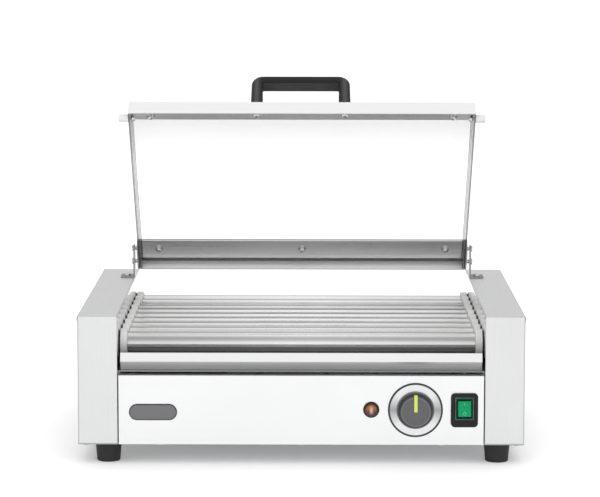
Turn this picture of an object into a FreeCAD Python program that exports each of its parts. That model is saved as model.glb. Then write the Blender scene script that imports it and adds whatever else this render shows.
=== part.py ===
import FreeCAD, Part
import math
import os
import PartDesign
import Sketcher

# Hot dog roller grill: a bench-top machine with nine driven, electrically heated
# roller tubes between two narrow side housings, a drip tray below the tubes, a
# control panel below the tray and a hinged clear lid standing open.
#
# Frame: origin at the centre of the footprint on the floor of the feet, +X to the
# right of somebody facing the controls, +Y away from them, +Z up, millimetres.

SIZES = {
    # housings and sheet metal
    "case_half": 260,        # half of the overall width over the side housings
    "well_half": 214,        # half of the clear width between the housings
    "case_deep": 200,        # half of the housing depth
    "case_low": 24,          # underside of the housings, on top of the feet
    "case_top": 176,         # top of the housings
    "sheet": 1.5,            # sheet thickness
    "seam": 0.3,             # gap between neighbouring sheets
    "corner_r": 1.4,         # outer bend radius of the housings
    "panel_half": 212.6,     # half of the control panel width
    "back_half": 213.7,      # half of the back panel width
    "panel_top": 105.8,      # top edge of the control panel
    "panel_fold": 14,        # depth of the folded edges of the control panel
    "back_top": 132,         # top edge of the back panel
    "deck_z": 107,           # underside of the deck below the drip tray
    "deck_sheet": 1.6,       # thickness of the deck
    "wall_foot": 9,          # width of the foot folded onto each inner wall
    # rollers
    "roller_count": 9,
    "roller_pitch": 37.5,
    "roller_z": 136,
    "tube_r": 12.5,
    "tube_wall": 1.0,
    "tube_left": 240,        # reach of the tubes to the left of the centre
    "tube_right": 236,       # reach of the tubes to the right of the centre
    "seal_r": 17,
    "seal_in": 204.7,        # inner face of the seal rings
    "seal_out": 212.7,       # outer face of the wide part of the seal rings
    "seal_neck_r": 14.8,
    "seal_gap": 0.3,         # radial clearance of a seal ring around its tube
    "bush_r": 15,
    "bush_rim_r": 17.5,
    "bush_rim": 3,           # thickness of the rim of a bush
    "run_fit": 0.05,         # radial clearance of a running fit
    # heating elements
    "rod_r": 4,
    "rod_half": 253,
    "stud_r": 2,
    "stud_half": 257,
    "insul_r": 6,
    "insul_rim_r": 8,
    "insul_len": 8,
    "rail_x": 246,           # inner face of the strips that carry the elements
    "rail_deep": 190,
    "rail_top": 150,
    # chain drive
    "teeth": 16,
    "chain_pitch": 6.35,
    "tip_r": 17.4,
    "tooth_gap_r": 1.75,
    "sprocket_x": 232,
    "sprocket_w": 2.8,
    "hub_r": 14.2,
    "hub_w": 9,
    "motor_y": 0,
    "motor_z": 72,
    "motor_shaft_r": 5,
    "chain_roll_r": 1.6,
    "chain_lift": 0.4,       # gap between tooth tips and the chain rollers
    "plate_h": 5,
    "plate_w": 0.7,
    "plate_in": 1.75,        # inner face of the inner link plates from mid-plane
    # drip tray
    "tray_half": 210.4,
    "tray_z": 109,
    "tray_sheet": 1,
    "tray_side": 117,        # top of the side and back walls of the tray
    "tray_back": 190,
    "tray_lip_z": 132,
    "tray_knee_z": 122.5,
    # controls
    "dial_x": 133,
    "dial_z": 65.5,
    "dial_r": 32,
    "dial_thick": 0.8,
    "knob_gap": 0.4,
    "skirt_r": 22,
    "skirt_w": 3.5,
    "cap_r": 18.8,
    "knob_front": 213,
    "shaft_r": 3,
    "pointer_w": 3.8,
    "pointer_len": 17.7,     # from the axis to the inside of the tail down the cap
    "pointer_thick": 1,
    "switch_x": 190,
    "switch_w": 31.6,
    "switch_h": 40,
    "bezel_thick": 2,
    "rocker_w": 15.2,
    "rocker_h": 18.8,
    "rocker_lift": 1.6,      # height of the rocker above the middle of its frame
    "lip_w": 21.5,           # raised lip round the rocker
    "lip_h": 26.6,
    "lip_wall": 1.1,
    "lip_thick": 0.8,
    "rocker_gap": 0.35,
    "rocker_tilt": 7,
    "lamp_x": 81.6,
    "lamp_z": 65.8,
    "lamp_r": 9.4,
    "lens_r": 7.8,
    "badge_x": -172.5,
    "badge_z": 62.5,
    "badge_w": 56,
    "badge_h": 19,
    # feet
    "foot_left": 226.5,      # feet on the left, from the centre plane
    "foot_right": 230,       # feet on the right
    "foot_y": 172,
    "foot_top_r": 15.6,
    "foot_low_r": 13.6,
    # hinge and lid
    "pivot_y": 128.3,
    "pivot_up": 20.3,        # hinge axis above the top of the housings
    "stop_up": 16.5,         # stop pin above the hinge axis
    "pin_r": 2.5,
    "bracket_x": 214.2,
    "bracket_t": 2,
    "bracket_half": 9,
    "bracket_h": 41,
    "bracket_foot": 16,
    "open_angle": 48.6,
    "fold_ahead": 5.5,       # rear fold of the lid in front of the hinge axis
    "lid_len": 285,
    "lid_half": 208,
    "lid_drop": 19,          # depth of the folded edges of the lid
    "pane_t": 4,
    "front_strip": 23,
    "rear_strip": 37,
    "rear_clamp": 41.5,      # reach of the clamp strip inside the rear edge
    "front_hole": 16,        # fastener line behind the front edge of the lid
    "rear_hole": 26,         # fastener line ahead of the rear fold of the lid
    "lid_hole_x": 182,
    "ear_t": 1.6,
    "ear_gap": 0.2,
    "bumper_r": 4.75,
    "bumper_len": 12,
    "bumper_down": 15.25,
    "bumper_back": 12.6,
    "grip_half": 60.1,
    "grip_h": 51.8,
    "grip_w": 18.5,
    "grip_bar": 10.4,
    "grip_leg": 14.7,
    "grip_mid": -1.5,         # middle of the handle, left of the middle of the lid
    "grip_hole_x": 53.1,
    "grip_r": 14,
    "grip_soft": 3,          # rounding of the long edges of the handle
    # fasteners
    "screw_r": 2,
    "screw_hole_r": 2.25,
    "head_r": 3.6,
    "head_h": 2,
    "gland_x": -170,
    "gland_z": 60,
}

NODES = []

doc = FreeCAD.newDocument("RollerGrill")
book = doc.addObject("Spreadsheet::Sheet", "Sizes")
for row, (alias, number) in enumerate(SIZES.items(), start=1):
    book.set("A%d" % row, alias)
    book.set("B%d" % row, str(number))
    book.setAlias("B%d" % row, alias)
doc.recompute()


class Size:
    """A length that carries its number and the sheet expression it came from."""

    def __init__(self, value, text):
        self.value = float(value)
        self.text = text

    def __add__(self, other):
        other = size(other)
        return Size(self.value + other.value, "(%s + %s)" % (self.text, other.text))

    def __sub__(self, other):
        other = size(other)
        return Size(self.value - other.value, "(%s - %s)" % (self.text, other.text))

    def __mul__(self, other):
        other = size(other)
        return Size(self.value * other.value, "(%s * %s)" % (self.text, other.text))

    def __truediv__(self, other):
        other = size(other)
        return Size(self.value / other.value, "(%s / %s)" % (self.text, other.text))

    def __neg__(self):
        return Size(-self.value, "(0 - %s)" % self.text)

    __radd__ = __add__
    __rmul__ = __mul__

    def __rsub__(self, other):
        return size(other) - self


def size(value):
    """Return value as a Size; plain numbers become constants."""
    if isinstance(value, Size):
        return value
    return Size(value, "(%.6g)" % value)


def cell(alias):
    """Size bound to one cell of the sheet."""
    return Size(book.get(alias), "Sizes.%s" % alias)


def number(alias):
    """Plain number of one cell of the sheet."""
    return float(book.get(alias))


PLANES = {"X": "YZ_Plane", "Y": "XZ_Plane", "Z": "XY_Plane"}


def new_body(label):
    """Empty body with a unique label."""
    body = doc.addObject("PartDesign::Body", label)
    body.Label = label
    return body


def new_sketch(body, name, axis, start):
    """Sketch square to an axis of the body, at a bound distance along it."""
    sketch = body.newObject("Sketcher::SketchObject", name)
    plane = next(p for p in body.Origin.OriginFeatures if p.Role == PLANES[axis])
    sketch.AttachmentSupport = [(plane, "")]
    sketch.MapMode = "FlatFace"
    offset = -size(start) if axis == "Y" else size(start)
    sketch.setExpression("AttachmentOffset.Base.z", offset.text)
    return sketch


def bind_point(sketch, geometry, position, point):
    """Fix one sketch point by two bound distances from the sketch origin."""
    for kind, value in (("DistanceX", size(point[0])), ("DistanceY", size(point[1]))):
        index = sketch.addConstraint(
            Sketcher.Constraint(kind, -1, 1, geometry, position, value.value))
        sketch.setExpression("Constraints[%d]" % index, value.text)


def add_polygon(sketch, points):
    """Closed outline through bound corner points."""
    corners = [FreeCAD.Vector(size(u).value, size(v).value, 0) for u, v in points]
    first = sketch.GeometryCount
    count = len(corners)
    for i in range(count):
        sketch.addGeometry(Part.LineSegment(corners[i], corners[(i + 1) % count]), False)
    for i in range(count):
        after = (i + 1) % count
        sketch.addConstraint(Sketcher.Constraint("Coincident", first + i, 2, first + after, 1))
    for i in range(count):
        bind_point(sketch, first + i, 1, points[i])


def add_circle(sketch, centre, radius):
    """Circle with bound centre and radius."""
    middle = FreeCAD.Vector(size(centre[0]).value, size(centre[1]).value, 0)
    normal = FreeCAD.Vector(0, 0, 1)
    index = sketch.addGeometry(Part.Circle(middle, normal, size(radius).value), False)
    bind_point(sketch, index, 3, centre)
    bound = sketch.addConstraint(Sketcher.Constraint("Radius", index, size(radius).value))
    sketch.setExpression("Constraints[%d]" % bound, size(radius).text)


def draw(sketch, loops):
    """Draw outlines: ("circle", centre, radius) or a list of corner points."""
    for loop in loops:
        if loop[0] == "circle":
            add_circle(sketch, loop[1], loop[2])
        else:
            add_polygon(sketch, loop)


def rect(u0, v0, u1, v1):
    """Corner points of an upright rectangle."""
    return [(u0, v0), (u1, v0), (u1, v1), (u0, v1)]


def pad(body, name, axis, loops, low, high):
    """Grow material between two bound positions along an axis."""
    low = size(low)
    high = size(high)
    sketch = new_sketch(body, name + "_sketch", axis, high if axis == "Y" else low)
    draw(sketch, loops)
    feature = body.newObject("PartDesign::Pad", name)
    feature.Profile = sketch
    feature.setExpression("Length", (high - low).text)
    sketch.Visibility = False
    doc.recompute()
    return feature


def cut(body, name, axis, loops, low, high):
    """Remove material between two bound positions along an axis."""
    low = size(low)
    high = size(high)
    before = body.Shape.Volume
    sketch = new_sketch(body, name + "_sketch", axis, low if axis == "Y" else high)
    draw(sketch, loops)
    feature = body.newObject("PartDesign::Pocket", name)
    feature.Profile = sketch
    feature.setExpression("Length", (high - low).text)
    sketch.Visibility = False
    doc.recompute()
    if body.Shape.Volume > before - 0.5:
        raise RuntimeError("%s removed nothing from %s" % (name, body.Label))
    return feature


def turned(body, name, profile):
    """Revolve a closed profile of (radius, height) points about the body's Z axis."""
    sketch = new_sketch(body, name + "_sketch", "Y", 0)
    draw(sketch, [profile])
    feature = body.newObject("PartDesign::Revolution", name)
    feature.Profile = sketch
    feature.ReferenceAxis = (sketch, ["V_Axis"])
    feature.Angle = 360
    sketch.Visibility = False
    doc.recompute()
    return feature


def round_edges(body, name, radius, test):
    """Fillet the edges for which the test holds."""
    tip = body.Tip
    names = ["Edge%d" % (i + 1) for i, edge in enumerate(tip.Shape.Edges) if test(edge)]
    if not names:
        raise RuntimeError("%s found no edges" % name)
    feature = body.newObject("PartDesign::Fillet", name)
    feature.Base = (tip, names)
    feature.setExpression("Radius", size(radius).text)
    doc.recompute()
    return feature


def place(item, x=0, y=0, z=0, axis=None, angle=0):
    """Bind the placement of an object."""
    if axis is not None:
        turn = FreeCAD.Rotation(FreeCAD.Vector(*axis), size(angle).value)
        item.Placement = FreeCAD.Placement(FreeCAD.Vector(0, 0, 0), turn)
        item.setExpression("Placement.Rotation.Angle", size(angle).text)
    item.setExpression("Placement.Base.x", size(x).text)
    item.setExpression("Placement.Base.y", size(y).text)
    item.setExpression("Placement.Base.z", size(z).text)
    doc.recompute()


def node(item):
    """Mark an object as one named piece of the grill."""
    NODES.append(item)
    return item


def group(label, members):
    """One named piece made of separate solids: (body, position, rotation) copies."""
    solids = []
    for body, position, rotation in members:
        solid = body.Shape.copy()
        solid.Placement = FreeCAD.Placement(FreeCAD.Vector(*position), rotation)
        solids.append(solid)
    item = doc.addObject("Part::Feature", label)
    item.Label = label
    item.Shape = Part.makeCompound(solids)
    return node(item)


def along_x(edge):
    """True for straight edges parallel to X."""
    return straight(edge) and abs(edge.tangentAt(edge.FirstParameter).x) > 0.999


def straight(edge):
    """True for straight edges."""
    return edge.Curve.TypeId == "Part::GeomLine"


UPRIGHT = FreeCAD.Rotation()
TO_RIGHT = FreeCAD.Rotation(FreeCAD.Vector(0, 1, 0), 90)
TO_LEFT = FreeCAD.Rotation(FreeCAD.Vector(0, 1, 0), -90)
TO_FRONT = FreeCAD.Rotation(FreeCAD.Vector(1, 0, 0), 90)
UPSIDE_DOWN = FreeCAD.Rotation(FreeCAD.Vector(1, 0, 0), 180)

case_half = cell("case_half")
well = cell("well_half")
deep = cell("case_deep")
low = cell("case_low")
top = cell("case_top")
sheet = cell("sheet")
seam = cell("seam")
roller_z = cell("roller_z")
ROLLERS = int(number("roller_count"))


def roller_y(index):
    """Bound depth of roller number index, counted from the front, starting at 0."""
    return cell("roller_pitch") * (index - (ROLLERS - 1) / 2)


# ---------------------------------------------------------------- side housings
SIDES = (("left", -1), ("right", 1))
SCREW_Y = 194
SIDE_SCREW_Y = 184
SIDE_SCREW_Z = 169
BRACKET_SCREW_Y = 6

for word, side in SIDES:
    casing = node(new_body("side_casing_" + word))
    u0, u1 = (-case_half, -well) if side < 0 else (well, case_half)
    pad(casing, "shell_" + word, "Z", [rect(u0, -deep, u1, deep)], low, top)
    outer = case_half.value * side
    round_edges(casing, "bends_" + word, cell("corner_r"),
                lambda e: straight(e) and (
                    (abs(e.CenterOfMass.x - outer) < 0.01 and abs(e.CenterOfMass.z - low.value) > 1)
                    or (along_x(e) and abs(e.CenterOfMass.z - top.value) < 0.01)))
    if side < 0:
        v0, v1 = -case_half + sheet, -well + 1
    else:
        v0, v1 = well - 1, case_half - sheet
    cut(casing, "hollow_" + word, "Z", [rect(v0, -deep + sheet, v1, deep - sheet)],
        low - 1, top - sheet)
    w0, w1 = (-case_half - 1, -case_half + 4) if side < 0 else (case_half - 4, case_half + 1)
    cut(casing, "side_holes_" + word, "X",
        [("circle", (y, SIDE_SCREW_Z), cell("screw_hole_r")) for y in (-SIDE_SCREW_Y, SIDE_SCREW_Y)],
        w0, w1)
    foot_mid = (cell("bracket_x") + cell("bracket_foot") / 2 + 1.5) * side
    cut(casing, "bracket_holes_" + word, "Z",
        [("circle", (foot_mid, cell("pivot_y") + dy), cell("screw_hole_r"))
         for dy in (-BRACKET_SCREW_Y, BRACKET_SCREW_Y)],
        top - 4, top + 1)

    wall = node(new_body("inner_wall_" + word))
    x0, x1 = (-well - sheet, -well) if side < 0 else (well, well + sheet)
    pad(wall, "web_" + word, "X",
        [rect(-deep + 1.8, low + 2, deep - 1.8, top - sheet - seam)], x0, x1)
    f0, f1 = (-well - cell("wall_foot"), -well) if side < 0 else (well, well + cell("wall_foot"))
    pad(wall, "foot_" + word, "Y", [rect(f0, low + 2, f1, low + 3.5)], -deep + 1.8, deep - 1.8)
    holes = [("circle", (roller_y(i), roller_z), cell("bush_r") + 0.1) for i in range(ROLLERS)]
    if side < 0:
        holes.append(("circle", (cell("motor_y"), cell("motor_z")), cell("motor_shaft_r") + 4))
    cut(wall, "bush_holes_" + word, "X", holes, x0 - 1, x1 + 1)

# ---------------------------------------------------------------- base, panels, deck
FOOT_XY = [(sx, sy) for sx in (-1, 1) for sy in (-1, 1)]
FOOT_X = {-1: "foot_left", 1: "foot_right"}
BASE_SCREW_X = (-252, -164, 0, 164, 252)

base = node(new_body("base_plate"))
pad(base, "plate", "Z",
    [rect(-case_half + 1.8, -deep + 1.8, case_half - 1.8, deep - 1.8)], low + 0.2, low + 1.7)
cut(base, "foot_holes", "Z",
    [("circle", (cell(FOOT_X[sx]) * sx, cell("foot_y") * sy), 2.7) for sx, sy in FOOT_XY],
    low - 1, low + 3)
cut(base, "screw_holes", "Z",
    [("circle", (x, sy * SCREW_Y), cell("screw_hole_r")) for x in BASE_SCREW_X for sy in (-1, 1)],
    low - 1, low + 3)
slot = cut(base, "vent_slot", "Z", [rect(-120, -60, -114, 60)], low - 1, low + 3)
vents = base.newObject("PartDesign::LinearPattern", "vent_slots")
vents.Originals = [slot]
vents.Direction = (slot.Profile[0], ["H_Axis"])
vents.Length = 234
vents.Occurrences = 14
base.Tip = vents
doc.recompute()

front = node(new_body("front_panel"))
panel_half = cell("panel_half")
fold = cell("panel_fold")
panel_top = cell("panel_top")
pad(front, "face", "X",
    [[(-deep, low + 0.2), (-deep, panel_top), (-deep + fold, panel_top),
      (-deep + fold, panel_top - sheet), (-deep + sheet, panel_top - sheet),
      (-deep + sheet, low + 3.4), (-deep + fold, low + 3.4), (-deep + fold, low + 1.9),
      (-deep + sheet, low + 1.9), (-deep + sheet, low + 0.2)]],
    -panel_half, panel_half)
dial = (cell("dial_x"), cell("dial_z"))
lamp = (cell("lamp_x"), cell("lamp_z"))
switch = (cell("switch_x"), cell("dial_z"))
cut(front, "control_holes", "Y",
    [("circle", dial, 5), ("circle", lamp, 6.7),
     rect(switch[0] - 13.8, switch[1] - 18, switch[0] + 13.8, switch[1] + 18)],
    -deep - 1, -deep + 3)
cut(front, "base_holes", "Z",
    [("circle", (x, -SCREW_Y), cell("screw_hole_r")) for x in BASE_SCREW_X[1:-1]],
    low + 1, low + 4)

back = node(new_body("back_panel"))
back_top = cell("back_top")
pad(back, "face", "X",
    [[(deep, low + 0.2), (deep, back_top), (deep - 10, back_top), (deep - 10, back_top - sheet),
      (deep - sheet, back_top - sheet), (deep - sheet, low + 3.4), (deep - fold, low + 3.4),
      (deep - fold, low + 1.9), (deep - sheet, low + 1.9), (deep - sheet, low + 0.2)]],
    -cell("back_half"), cell("back_half"))
gland = (cell("gland_x"), cell("gland_z"))
cut(back, "gland_hole", "Y", [("circle", gland, 8.2)], deep - 3, deep + 1)
cut(back, "base_holes_rear", "Z",
    [("circle", (x, SCREW_Y), cell("screw_hole_r")) for x in BASE_SCREW_X[1:-1]],
    low + 1, low + 4)
louvre = cut(back, "louvre", "Y", [rect(60, 40, 64, 90)], deep - 3, deep + 1)
louvres = back.newObject("PartDesign::LinearPattern", "louvres")
louvres.Originals = [louvre]
louvres.Direction = (louvre.Profile[0], ["H_Axis"])
louvres.Length = 96
louvres.Occurrences = 9
back.Tip = louvres
doc.recompute()

deck = node(new_body("tray_deck"))
deck_z = cell("deck_z")
deck_top = deck_z + cell("deck_sheet")
pad(deck, "plate", "Y",
    [[(-well + 0.2, deck_z - 10), (-well + 0.2, deck_top), (well - 0.2, deck_top),
      (well - 0.2, deck_z - 10), (well - 1.8, deck_z - 10), (well - 1.8, deck_z),
      (-well + 1.8, deck_z), (-well + 1.8, deck_z - 10)]],
    -deep + 16, deep - 11)

# ---------------------------------------------------------------- rollers and drive
tube_r = cell("tube_r")
sprocket_x = cell("sprocket_x")


def add_sprocket(label, y, z, bore):
    """Chain wheel with a hub, turning about X."""
    wheel = node(new_body(label))
    half = cell("sprocket_w") / 2
    pad(wheel, label + "_disc", "X", [("circle", (0, 0), cell("tip_r")), ("circle", (0, 0), bore)],
        -sprocket_x - half, -sprocket_x + half)
    pitch_r = cell("chain_pitch").value / (2 * math.sin(math.pi / number("teeth")))
    gap = cut(wheel, label + "_gap", "X",
              [("circle", (0, pitch_r + 0.35), cell("tooth_gap_r"))],
              -sprocket_x - half - 1, -sprocket_x + half + 1)
    ring = wheel.newObject("PartDesign::PolarPattern", label + "_teeth")
    ring.Originals = [gap]
    ring.Axis = (gap.Profile[0], ["N_Axis"])
    ring.Angle = 360
    ring.setExpression("Occurrences", "Sizes.teeth")
    wheel.Tip = ring
    doc.recompute()
    pad(wheel, label + "_hub", "X", [("circle", (0, 0), cell("hub_r")), ("circle", (0, 0), bore)],
        -sprocket_x + half, -sprocket_x + half + cell("hub_w"))
    place(wheel, 0, y, z)
    return wheel


for i in range(ROLLERS):
    tube = node(new_body("roller_%d" % (i + 1)))
    pad(tube, "tube_%d" % (i + 1), "X",
        [("circle", (0, 0), tube_r), ("circle", (0, 0), tube_r - cell("tube_wall"))],
        -cell("tube_left"), cell("tube_right"))
    place(tube, 0, roller_y(i), roller_z)

for i in range(ROLLERS):
    add_sprocket("sprocket_%d" % (i + 1), roller_y(i), roller_z, tube_r)

motor_y = cell("motor_y")
motor_z = cell("motor_z")
add_sprocket("motor_sprocket", motor_y, motor_z, cell("motor_shaft_r"))
shaft = node(new_body("motor_shaft"))
pad(shaft, "shaft_bar", "X", [("circle", (0, 0), cell("motor_shaft_r"))], -238, -190)
place(shaft, 0, motor_y, motor_z)

# Seal rings stand on the cooking side of each wall, bushes sit in the wall.
seal = new_body("seal_master")
hole_r = tube_r + cell("seal_gap")
turned(seal, "seal_ring",
       [(hole_r, cell("seal_in")), (cell("seal_r") - 1, cell("seal_in")),
        (cell("seal_r"), cell("seal_in") + 1), (cell("seal_r"), cell("seal_out")),
        (cell("seal_neck_r"), cell("seal_out")), (cell("seal_neck_r"), well - 0.1),
        (hole_r, well - 0.1)])
bush = new_body("bush_master")
run_r = tube_r + cell("run_fit")
turned(bush, "bush_ring",
       [(run_r, well), (cell("bush_r"), well), (cell("bush_r"), well + sheet + 0.1),
        (cell("bush_rim_r"), well + sheet + 0.1),
        (cell("bush_rim_r"), well + sheet + 0.1 + cell("bush_rim")),
        (run_r, well + sheet + 0.1 + cell("bush_rim"))])
axes = [(0, roller_y(i).value, roller_z.value) for i in range(ROLLERS)]
group("roller_seals", [(seal, p, turn) for p in axes for turn in (TO_LEFT, TO_RIGHT)])
group("roller_bushes", [(bush, p, turn) for p in axes for turn in (TO_LEFT, TO_RIGHT)])

rod = new_body("rod_master")
rod_r = cell("rod_r")
turned(rod, "rod_profile",
       [(0, -cell("stud_half")), (cell("stud_r"), -cell("stud_half")),
        (cell("stud_r"), -cell("rod_half")), (rod_r, -cell("rod_half")),
        (rod_r, cell("rod_half")), (cell("stud_r"), cell("rod_half")),
        (cell("stud_r"), cell("stud_half")), (0, cell("stud_half"))])
group("heating_elements", [(rod, p, TO_RIGHT) for p in axes])

insulator = new_body("insulator_master")
rail_x = cell("rail_x")
turned(insulator, "insulator_ring",
       [(rod_r + 0.1, rail_x - 2.5), (cell("insul_rim_r"), rail_x - 2.5),
        (cell("insul_rim_r"), rail_x - 0.1), (cell("insul_r"), rail_x - 0.1),
        (cell("insul_r"), rail_x - 2.5 + cell("insul_len")),
        (rod_r + 0.1, rail_x - 2.5 + cell("insul_len"))])
group("element_insulators", [(insulator, p, turn) for p in axes for turn in (TO_LEFT, TO_RIGHT)])

rail = new_body("rail_master")
rail_deep = cell("rail_deep")
pad(rail, "rail_web", "X",
    [[(-rail_deep, low + 2), (-rail_deep, cell("rail_top")), (rail_deep, cell("rail_top")),
      (rail_deep, low + 2), (rail_deep - 14, low + 2), (rail_deep - 14, 122),
      (-rail_deep + 14, 122), (-rail_deep + 14, low + 2)]],
    rail_x, rail_x + sheet)
cut(rail, "rail_holes", "X",
    [("circle", (roller_y(i), roller_z), cell("insul_r") + 0.1) for i in range(ROLLERS)],
    rail_x - 1, rail_x + sheet + 1)
for end in (-1, 1):
    y0, y1 = (-rail_deep, -rail_deep + 14) if end < 0 else (rail_deep - 14, rail_deep)
    pad(rail, "rail_foot_%s" % ("front" if end < 0 else "rear"), "Y",
        [rect(rail_x, low + 2, rail_x + 11, low + 3.5)], y0, y1)
FLIP = FreeCAD.Rotation(FreeCAD.Vector(0, 0, 1), 180)
group("element_rails", [(rail, (0, 0, 0), UPRIGHT), (rail, (0, 0, 0), FLIP)])

gear = node(new_body("gear_motor"))
pad(gear, "gearbox", "X", [rect(-30, -36, 30, 28)], -205, -165)
round_edges(gear, "gearbox_corners", 5, lambda e: straight(e) and along_x(e))
pad(gear, "motor_can", "X", [("circle", (0, 0), 28)], -165, -98)
pad(gear, "end_boss", "X", [("circle", (0, 0), 10)], -98, -92)
cut(gear, "shaft_bore", "X", [("circle", (0, 0), cell("motor_shaft_r") + cell("run_fit"))],
    -206, -188)
place(gear, 0, motor_y, motor_z)

mount = node(new_body("motor_bracket"))
pad(mount, "mount_plate", "X", [rect(-42, 27.6, 42, 100)], -207.2, -205.2)
pad(mount, "mount_foot", "Y", [rect(-207.2, 25.8, -180, 27.6)], -42, 42)
cut(mount, "shaft_window", "X", [("circle", (motor_y, motor_z), 12)], -208, -204)

# Chain: one closed loop over the tops of all nine roller wheels and down round the
# motor wheel. Its rollers stand just clear of the tooth tips so that the wheels can
# turn inside it.
chain_r = number("tip_r") + number("chain_lift") + number("chain_roll_r")


def chain_points():
    """Evenly spaced pin positions (y, z) round the loop."""
    last = roller_y(ROLLERS - 1).value
    centres = [(-last, roller_z.value), (last, roller_z.value), (motor_y.value, motor_z.value)]
    spans = []
    for i in range(3):
        (ya, za), (yb, zb) = centres[i], centres[(i + 1) % 3]
        length = math.hypot(yb - ya, zb - za)
        heading = math.atan2(zb - za, yb - ya)
        spans.append((ya, za, heading, length))
    pieces = []
    for i in range(3):
        ya, za, heading, length = spans[i]
        normal = heading + math.pi / 2
        pieces.append(("line", ya + chain_r * math.cos(normal), za + chain_r * math.sin(normal),
                       heading, length))
        after = spans[(i + 1) % 3]
        turn = (heading - after[2]) % (2 * math.pi)
        pieces.append(("arc", after[0], after[1], normal, turn * chain_r))
    total = sum(piece[4] for piece in pieces)
    count = 2 * round(total / number("chain_pitch") / 2)
    points = []
    for k in range(count):
        way = total * k / count
        for kind, y, z, angle, length in pieces:
            if way <= length:
                if kind == "line":
                    points.append((y + way * math.cos(angle), z + way * math.sin(angle)))
                else:
                    angle -= way / chain_r
                    points.append((y + chain_r * math.cos(angle), z + chain_r * math.sin(angle)))
                break
            way -= length
    return points


def link_plate(start, end, x):
    """One oblong link plate between two pins."""
    half = number("plate_h") / 2
    run = math.hypot(end[0] - start[0], end[1] - start[1])
    side_a = Part.LineSegment(FreeCAD.Vector(0, half, 0), FreeCAD.Vector(run, half, 0))
    side_b = Part.LineSegment(FreeCAD.Vector(run, -half, 0), FreeCAD.Vector(0, -half, 0))
    cap_a = Part.Arc(FreeCAD.Vector(run, half, 0), FreeCAD.Vector(run + half, 0, 0),
                     FreeCAD.Vector(run, -half, 0))
    cap_b = Part.Arc(FreeCAD.Vector(0, -half, 0), FreeCAD.Vector(-half, 0, 0),
                     FreeCAD.Vector(0, half, 0))
    wire = Part.Wire([curve.toShape() for curve in (side_a, cap_a, side_b, cap_b)])
    plate = Part.Face(wire).extrude(FreeCAD.Vector(0, 0, number("plate_w")))
    heading = math.degrees(math.atan2(end[1] - start[1], end[0] - start[0]))
    flat = FreeCAD.Rotation(FreeCAD.Vector(0, 0, 1), heading)
    stand = FreeCAD.Rotation(FreeCAD.Vector(1, 1, 1), 120)
    plate.Placement = FreeCAD.Placement(FreeCAD.Vector(x, start[0], start[1]),
                                        stand.multiply(flat))
    return plate


chain_solids = []
pins = chain_points()
inner_face = number("plate_in")
plate_w = number("plate_w")
mid = -number("sprocket_x")
for k, pin in enumerate(pins):
    after = pins[(k + 1) % len(pins)]
    step = 0 if k % 2 == 0 else plate_w + 0.05
    chain_solids.append(link_plate(pin, after, mid + inner_face + step))
    chain_solids.append(link_plate(pin, after, mid - inner_face - step - plate_w))
    chain_solids.append(Part.makeCylinder(
        number("chain_roll_r"), 2 * inner_face - 0.1,
        FreeCAD.Vector(mid - inner_face + 0.05, pin[0], pin[1]), FreeCAD.Vector(1, 0, 0)))
chain = doc.addObject("Part::Feature", "drive_chain")
chain.Label = "drive_chain"
chain.Shape = Part.makeCompound(chain_solids)
node(chain)

# ---------------------------------------------------------------- drip tray
tray = node(new_body("drip_tray"))
tray_half = cell("tray_half")
tray_z = cell("tray_z")
tray_t = cell("tray_sheet")
tray_back = cell("tray_back")
pad(tray, "pan", "X",
    [[(-deep + 10, tray_z), (tray_back, tray_z), (tray_back, cell("tray_side")),
      (-deep + 5.3, cell("tray_side")), (-deep + 2.2, cell("tray_knee_z")),
      (-deep + 1.6, cell("tray_knee_z")), (-deep + 3.8, cell("tray_lip_z")),
      (-deep + 2.8, cell("tray_lip_z")), (-deep + 0.4, cell("tray_knee_z") - 0.4),
      (-deep + 10, tray_z + 1.2)]],
    -tray_half, tray_half)
cut(tray, "pan_hollow", "X",
    [[(-deep + 11.3, tray_z + tray_t), (tray_back - tray_t, tray_z + tray_t),
      (tray_back - tray_t, cell("tray_side") + 1), (-deep + 6.1, cell("tray_side") + 1)]],
    -tray_half + tray_t, tray_half - tray_t)

# ---------------------------------------------------------------- controls
face = -deep
plate = node(new_body("dial_plate"))
pad(plate, "dial_disc", "Y", [("circle", dial, cell("dial_r")), ("circle", dial, 5)],
    face - cell("dial_thick"), face)

knob_back = deep + cell("dial_thick") + cell("knob_gap")
knob_front = cell("knob_front")
knob = node(new_body("control_knob"))
turned(knob, "knob_profile",
       [(cell("shaft_r") + cell("run_fit"), knob_back), (cell("skirt_r"), knob_back),
        (cell("skirt_r"), knob_back + 1.2), (cell("cap_r") + 1.6, knob_back + cell("skirt_w")),
        (cell("cap_r"), knob_back + cell("skirt_w") + 1), (cell("cap_r") - 0.8, knob_front - 1.2),
        (cell("cap_r") - 2, knob_front), (0, knob_front), (0, knob_front - 5),
        (cell("shaft_r") + cell("run_fit"), knob_front - 5)])
slot_low = cell("pointer_w") / 2
pointer_len = cell("pointer_len")
pointer_back = knob_front - cell("pointer_thick")
tail_end = knob_back + cell("skirt_w") + 1.6
cut(knob, "pointer_slot", "X",
    [[(-0.4, pointer_back), (-0.4, knob_front + 1), (pointer_len + 4, knob_front + 1),
      (pointer_len + 4, tail_end - 0.1), (pointer_len, tail_end - 0.1),
      (pointer_len, pointer_back)]],
    -slot_low - 0.05, slot_low + 0.05)
place(knob, dial[0], 0, dial[1], (1, 0, 0), 90)

pointer = node(new_body("knob_pointer"))
pad(pointer, "pointer_bar", "X",
    [[(-0.3, pointer_back), (-0.3, knob_front), (pointer_len - 0.7, knob_front),
      (pointer_len + 1.2, knob_front - 1.6), (pointer_len + 1.2, tail_end),
      (pointer_len, tail_end), (pointer_len, pointer_back)]],
    -slot_low, slot_low)
place(pointer, dial[0], 0, dial[1], (1, 0, 0), 90)

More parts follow.
